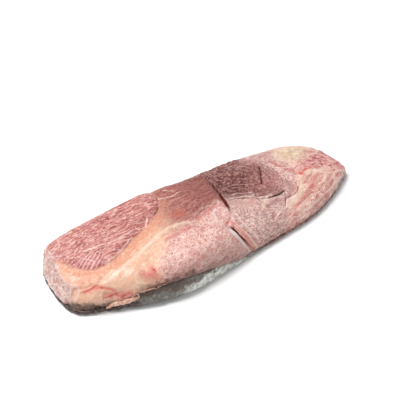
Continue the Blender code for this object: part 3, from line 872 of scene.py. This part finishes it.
meat.coat(meat.layers(
    meat.paint(meat.rise(from_split, -0.6, 0.6), muscles, beyond),
    (meat.both(meat.rise(speck, 0.46, 0.32, 0.2), off_fat), seen(160, 96, 94)),
    (meat.both(meat.rise(speck, 0.54, 0.68, 0.22), off_fat), seen(252, 218, 209)),
    (meat.rise(torn("mauve", 0.9), 1.3, 0.2, 0.55), seen(166, 118, 116)),
    (meat.rise(torn("reddish", 0.8), 1.3, 0.1, 0.6), seen(204, 124, 116)),
    (flap_folds, seen(228, 146, 126)),
    (meat.rise(torn("rim", 6), 2.4, -2.4), cut_face),
    (meat.rise(torn("cream", 1.2), 1.5, -0.2, 0.7), seen(251, 224, 202)),
    (meat.rise(torn("white", 1.3), 1.3, 0.1, 0.65), seen(240, 216, 208)),
    (meat.rise(torn("veins", 1.0), 1.3, 0.2, 0.8), seen(251, 220, 208)),
    (meat.rise(torn("stain", 0.5), 1.2, 0.1, 0.75), seen(194, 112, 100)),
    (meat.rise(bloody, 2.0, 0.4, 0.6), seen(230, 142, 132)),
    (meat.rise(bloody, 0.6, -0.3, 0.85), seen(194, 70, 72)),
    # the cracks and slits painted dark: painted shade in them
    (meat.rise(torn("cracks", 0.9), 1.2, 0.2, 0.75), seen(112, 58, 54)),
    (meat.rise(torn("slits", 0.7), 1.5, 0.4, 0.85), seen(84, 40, 42)),
    (meat.both(on_shelf, 0.85), seen(232, 216, 214)),
    # the split's gap: partly dark red meat, partly painted shade
    (shade_in_gap, seen(100, 52, 47)),
    # the lip's edge: partly darkened meat, partly painted shade
    (meat.both(shade_at_lip, 0.65), seen(120, 80, 70)),
    # the lip's underside: partly darker meat, partly painted shade
    (meat.rise(torn("lip_shade_edge", 1.6), 1.5, 0.2, 0.75), seen(112, 78, 71)),
    # dark near the floor: partly dried edges, partly painted shade
    (meat.rise(above_foot, *FOOT, 0.9), shaded_foot)))
height = meat.add(meat.math("MULTIPLY", grit, 1.2), fine, 0.8)
height = meat.add(height, meat.rise(net, 0.16, 0.03), 0.5)
meat.relief(meat.both(height, off_fat), 0.4, 0.7)
meat.wet(0.40, 0.35, 0.10)
lean.data.materials.append(meat.made)
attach(lean, "root")
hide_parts("lean_meat")

# ---------------------------------------------------------------------------------------
# The cover: silverskin and fat under the whole lean, turned up round its side. It is a
# thin tough sheet, grey-white where it is bare and creamy where fat lies on it.

COVER_FACE = 3.2e-6  # square metres: larger faces are cut in three each way
UNDERSIDE = 0.0004  # metres: faces no higher than this are the flat underside
COVER_GRAIN = [(0.9, 24, 7, 5, 3), (0.4, 9, 3, 60, 8)]
COVER_NET = (0.5, 14, 5, 8)
PLEATS = [(0.7, 12, 3.4, 75, 2)]
PLEATS_FROM = (0, -20)  # along y
UNEVEN_ABOVE = (0.2, 2.5)  # height

cover = copy_of_solid("fat_cover", "cover")
subdivide_all(cover)
cut_finer(cover, lambda face: face.area > COVER_FACE and face.center.z > UNDERSIDE, 2)
rest = vectors(cover) / MM
facing = vectors(cover, "normal")
x, y, z = rest.T
push = grain(rest, COVER_GRAIN)
push += cells(rest, *COVER_NET)
push += grain(rest, PLEATS) * smooth(*PLEATS_FROM, y)
moved = rest + facing * (push * smooth(*UNEVEN_ABOVE, z))[:, None]
moved[:, 2] = np.maximum(moved[:, 2], 0)
move_to(cover, moved * MM)
round_faces(cover)

# Where its colours start and where they are full, in mm along x, y or z.
SIDE_ABOVE = (0.6, 2.0)  # z
NEAR_SIDE_FROM = (0, -30)  # y
SHADED_TO = (-48, -72)  # x
# x over which folds and creases are painted near white: partly white fat, partly painted highlight
BRIGHT_FROM = (-62, -44)  # x
BRIGHT_TO = (24, 6)  # x
# z of the band under the lean's lip: brown meat flecks and painted shadow
UNDER_LIP_SHADE = (21, 25)  # z
FLESHY_SHADED_TO = (-96, -116)  # x
SHADED_RIM_FROM = (22, 44)  # x
# z below which the near side is painted dark as painted shade
COVER_SHADED_FOOT = (5, 1)  # z

skin = Finish("silverskin and fat")
strayed = skin.wander(skin.place, 16, 3)
at_x, at_y, at_z = skin.apart(strayed)
sheen = skin.noise(skin.stretch(strayed, 26, 6, 8), 3, 0.55)
fibre = skin.noise(skin.stretch(strayed, 12, 1.6, 60), 2, 0.6)
fleck = skin.noise(skin.stretch(skin.place, 3, 2.4), 3, 0.6)
blotch = skin.noise(skin.stretch(skin.place, 30, 16), 3, 0.6)
upright = skin.noise(skin.stretch(strayed, 9, 3.2, 78, 2.0), 3, 0.6)
shreds = skin.noise(skin.stretch(strayed, 7, 5, 40, 3.0), 3, 0.65)

bare = skin.layers(
    skin.paint(skin.rise(sheen, 0.36, 0.62), seen(150, 145, 138), seen(200, 197, 188)),
    (skin.rise(fibre, 0.52, 0.70, 0.6), seen(224, 220, 210)),
    (skin.rise(fleck, 0.56, 0.70, 0.5), seen(236, 232, 220)))
creamy = skin.layers(
    skin.paint(skin.rise(fleck, 0.40, 0.62), seen(226, 212, 192), seen(246, 238, 222)),
    (skin.ridges(skin.stretch(strayed, 22, 7, 30, 4.0), 0.03), seen(206, 190, 172)))
fleshy_and_shaded = skin.paint(skin.rise(fleck, 0.40, 0.62), seen(56, 46, 43), seen(116, 94, 86))
# the thin rim right of the split: partly dark flesh, partly painted shade
thin = skin.paint(skin.rise(fleck, 0.42, 0.60), seen(128, 84, 80), seen(190, 150, 140))

on_side = skin.rise(at_z, *SIDE_ABOVE)
on_near_side = skin.both(on_side, skin.rise(at_y, *NEAR_SIDE_FROM))
shaded = skin.rise(skin.add(at_x, blotch, 40), *SHADED_TO, 0.75)
bright = skin.both(skin.rise(skin.add(at_x, blotch, 30), *BRIGHT_FROM),
                   skin.rise(at_x, *BRIGHT_TO))
pleats = skin.rise(skin.noise(skin.stretch(strayed, 9, 4, 75, 5.0), 3, 0.6), 0.42, 0.62)
creases = skin.ridges(skin.stretch(strayed, 14, 5, 118, 7.0), 0.05, 0.9)
shade_under_lip = skin.rise(skin.add(at_z, shreds, 16), *UNDER_LIP_SHADE, 0.8)
skin.coat(skin.layers(
    skin.paint(skin.rise(blotch, 0.42, 0.58), bare, creamy),
    (on_near_side, bare),
    (skin.both(shaded, on_near_side), seen(100, 94, 88)),
    (skin.both(skin.rise(upright, 0.48, 0.32, 0.6), on_near_side), seen(84, 76, 70)),
    (skin.both(skin.rise(upright, 0.53, 0.66, 0.6), on_near_side), seen(184, 182, 170)),
    # folds and creases: partly white fat, partly painted highlight
    (skin.both(skin.both(pleats, bright), on_near_side), seen(240, 242, 234)),
    (skin.both(skin.both(creases, bright), on_near_side), seen(250, 252, 246)),
    # under the lean's lip: brown meat flecks and painted shadow
    (skin.both(shade_under_lip, on_near_side), seen(98, 76, 70)),
    # the side near the cut end: flesh-brown, darkened with painted shade
    (skin.both(skin.rise(skin.add(at_x, blotch, 30), *FLESHY_SHADED_TO), on_side), fleshy_and_shaded),
    # thin rim: partly dark flesh, partly painted shade
    (skin.both(skin.rise(skin.add(at_x, blotch, 20), *SHADED_RIM_FROM), on_side), thin),
    # painted shade along the foot of the near side
    (skin.both(skin.rise(at_z, *COVER_SHADED_FOOT, 0.7), on_near_side), seen(72, 64, 60))))
skin.relief(skin.add(fibre, fleck, 0.7), 0.8, 0.8)
skin.wet(0.34, 0.4, 0.1)
cover.data.materials.append(skin.made)
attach(cover, "root")
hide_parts("fat_cover")

# ---------------------------------------------------------------------------------------
# Loose ends of fat and tissue: a flap of fat that hangs over the cover near the cut end,
# its curled tip, and threads and a shred along the torn lip. They grow out of the meat.

# Name, thickness in mm, how much of its half thickness its middle stands out by, and
# places in mm that are taken onto the lean's surface.
LOOSE_ENDS = [
    ("flap", 6.5, 0.2, [(-150, -49, 7), (-142, -52, 9), (-133, -54, 11), (-125, -57, 13),
                        (-120, -58, 15)]),
    ("flap_curl", 1.5, 0.5, [(-126, -56, 14), (-122, -57, 18), (-119, -58, 18),
                             (-119, -59, 14), (-122, -58, 12), (-126, -57, 12)]),
    ("lip_thread", 1.2, 0.4, [(-122, -56, 24), (-117, -58, 22), (-110, -60, 20),
                              (-103, -62, 20), (-96, -63, 21), (-90, -63, 23)]),
    ("lip_thread_low", 1.0, 0.4, [(-118, -59, 19), (-110, -61, 17), (-102, -63, 17)]),
    ("lip_shred", 1.6, 0.5, [(-92, -62, 20), (-84, -64, 18), (-77, -66, 18), (-70, -67, 20)]),
]
TIP_SHARE = 0.35  # of the thickness, at both ends
LUMPS = 0.12  # of the thickness
LUMP_SIZE = 2.5  # mm
OFF_FLOOR = 0.2  # mm

soft_fat = Finish("creamy end")
fleck = soft_fat.noise(soft_fat.stretch(soft_fat.place, 3, 2), 2, 0.6)
soft_fat.coat(soft_fat.paint(soft_fat.rise(fleck, 0.40, 0.62), seen(228, 168, 146),
                             seen(251, 216, 192)))
soft_fat.relief(fleck, 0.4, 0.6)
soft_fat.wet(0.36, 0.4, 0.1)

for name, thick, lift, places in LOOSE_ENDS:
    bpy.ops.object.select_all(action="DESELECT")
    bpy.ops.curve.primitive_nurbs_path_add(location=(0, 0, 0))
    loose = bpy.context.object
    loose.name = loose.data.name = name
    path = loose.data.splines[0]
    line = curve_through(places, 4)
    path.points.add(len(line) - len(path.points))
    for step, (point, place) in enumerate(zip(path.points, line)):
        _, spot, facing, _ = lean.closest_point_on_mesh(Vector(place) * MM)
        point.co = (*(spot + facing * lift * thick / 2 * MM), 1)
        swell = math.sin(math.pi * (step + 0.5) / len(line))
        point.radius = TIP_SHARE + (1 - TIP_SHARE) * swell
    path.use_endpoint_u = True
    loose.data.bevel_depth = thick / 2 * MM
    loose.data.bevel_resolution = 4
    loose.data.use_fill_caps = True
    bpy.ops.object.convert(target="MESH")
    loose = bpy.context.object
    rest = vectors(loose) / MM
    uneven = grain(rest, [(LUMPS * thick, LUMP_SIZE, LUMP_SIZE, 0, 5)])
    moved = rest + vectors(loose, "normal") * uneven[:, None]
    moved[:, 2] = np.maximum(moved[:, 2], OFF_FLOOR)
    move_to(loose, moved * MM)
    round_faces(loose)
    loose.data.materials.append(soft_fat.made)
    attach(loose, "root")

# ---------------------------------------------------------------------------------------
# The set: a plain pale floor, a large soft light above and behind, a weaker one in front,
# a white room, and the camera, which looks down on the steak from its near left.

FLOOR_SIZE = 8.0
FLOOR_BELOW = 0.0004  # so that the floor and the underside don't lie in one plane
FLOOR_GREY = 0.9
FLOOR_ROUGHNESS = 0.9
ROOM_LIGHT = 0.42
CAMERA_AZIMUTH = math.radians(-30)
CAMERA_HEIGHT = math.radians(42)
CAMERA_AWAY = 0.84
CAMERA_LENS = 65.0
CAMERA_TARGET = Vector((0.0133, 0.0493, 0.0))

bpy.ops.object.select_all(action="DESELECT")
bpy.ops.mesh.primitive_plane_add(size=FLOOR_SIZE, location=(0, 0, -FLOOR_BELOW))
floor = bpy.context.object
floor.name = "floor"
pale = bpy.data.materials.new("floor")
pale.use_nodes = True
pale_shader = pale.node_tree.nodes["Principled BSDF"]
pale_shader.inputs["Base Color"].default_value = (FLOOR_GREY, FLOOR_GREY, FLOOR_GREY, 1)
pale_shader.inputs["Roughness"].default_value = FLOOR_ROUGHNESS
floor.data.materials.append(pale)


def add_light(name, place, size, power):
    """A square light that faces the steak."""
    bpy.ops.object.light_add(type="AREA", location=place)
    lamp = bpy.context.object
    lamp.name = name
    lamp.data.shape = "SQUARE"
    lamp.data.size = size
    lamp.data.energy = power
    lamp.rotation_euler = (-Vector(place)).to_track_quat("-Z", "Y").to_euler()


add_light("key", place=(-0.55, 0.4, 1.5), size=1.0, power=35)
add_light("fill", place=(0.3, -1.3, 1.1), size=1.2, power=5)

world = bpy.data.worlds.new("soft room")
world.use_nodes = True
world.node_tree.nodes["Background"].inputs["Color"].default_value = (1, 1, 1, 1)
world.node_tree.nodes["Background"].inputs["Strength"].default_value = ROOM_LIGHT
bpy.context.scene.world = world
bpy.context.scene.view_settings.view_transform = "Standard"

back = Vector((math.sin(CAMERA_AZIMUTH) * math.cos(CAMERA_HEIGHT),
               -math.cos(CAMERA_AZIMUTH) * math.cos(CAMERA_HEIGHT), math.sin(CAMERA_HEIGHT)))
bpy.ops.object.camera_add(location=CAMERA_TARGET + back * CAMERA_AWAY,
                          rotation=(-back).to_track_quat("-Z", "Y").to_euler())
camera = bpy.context.object
camera.data.lens = CAMERA_LENS
camera.data.clip_start = 0.01
bpy.context.scene.camera = camera
